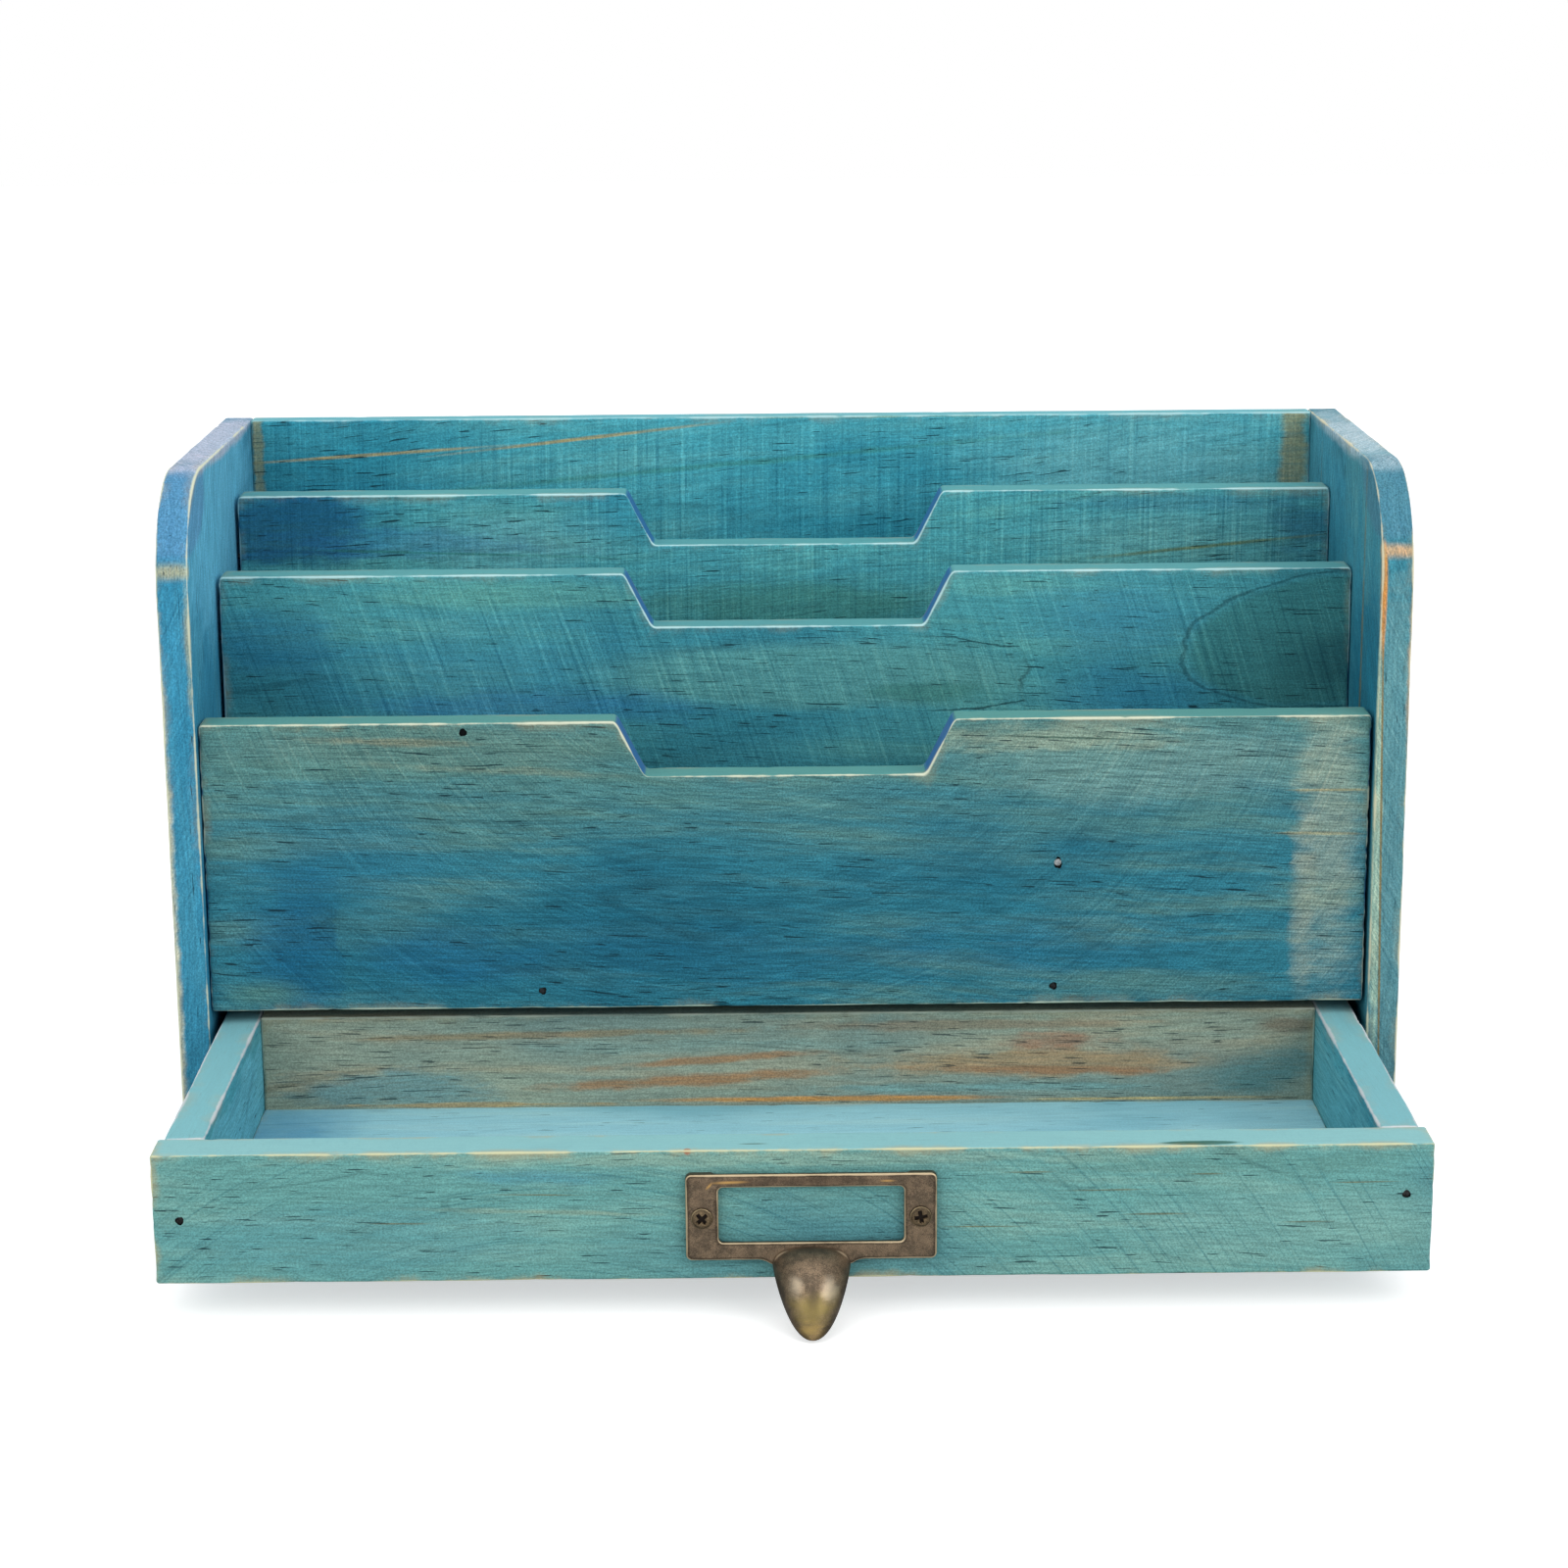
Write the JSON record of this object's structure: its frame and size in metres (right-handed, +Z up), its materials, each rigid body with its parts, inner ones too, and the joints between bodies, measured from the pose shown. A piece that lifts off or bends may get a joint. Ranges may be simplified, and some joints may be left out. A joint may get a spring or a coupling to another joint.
{
  "type": "envelope sorter with drawer",
  "caption": "Desk-top wooden letter sorter with notched divider boards, upright mail slots and a shallow pull-out drawer with a metal label pull.",
  "frame": {"origin": "middle of the carcass's footprint, on the surface it stands on", "axes": "+X to the right along the boards, +Y to the back panel, +Z up; the drawer pulls out towards -Y"},
  "size_m": [0.33, 0.2479, 0.1905],
  "materials": {
    "side_wood": "blue-teal stain rubbed off the arrises, saw-marked",
    "back_wood": "teal stain, fine upright saw lines",
    "divider_wood": "blue-teal stain, slanting saw lines",
    "front_wood": "teal stain, weathered olive and tan near the top",
    "drawer_front_wood": "sea-green stain with rubbed arrises",
    "drawer_box_wood": "thin pale blue stain",
    "antique_bronze": "antique bronze plate, rubbed golden on the edges",
    "screw_bronze": "antique bronze plate",
    "brad_steel": "plain steel brads, set below the surface"
  },
  "bodies": {
    "carcass": {"left_side": "side_wood", "right_side": "side_wood", "back_panel": "back_wood", "base_board": "back_wood", "slot_shelf": "divider_wood", "front_panel": "front_wood", "middle_divider": "divider_wood", "rear_divider": "divider_wood", "left_side_brads": "brad_steel", "right_side_brads": "brad_steel", "back_panel_brads": "brad_steel", "front_panel_brads": "brad_steel", "stray_brad": "brad_steel"},
    "drawer": {"drawer_front": "drawer_front_wood", "drawer_left_side": "drawer_box_wood", "drawer_right_side": "drawer_box_wood", "drawer_back": "drawer_box_wood", "drawer_bottom": "drawer_box_wood", "drawer_front_brads": "brad_steel", "drawer_left_side_brads": "brad_steel", "drawer_right_side_brads": "brad_steel", "label_pull": "antique_bronze", "pull_screws": "screw_bronze"}
  },
  "joints": [
    {"name": "drawer_slide", "type": "slide", "parent": "carcass", "child": "drawer", "axis": [0, -1, 0], "range_m": [-0.1036, 0.0049]}
  ]
}
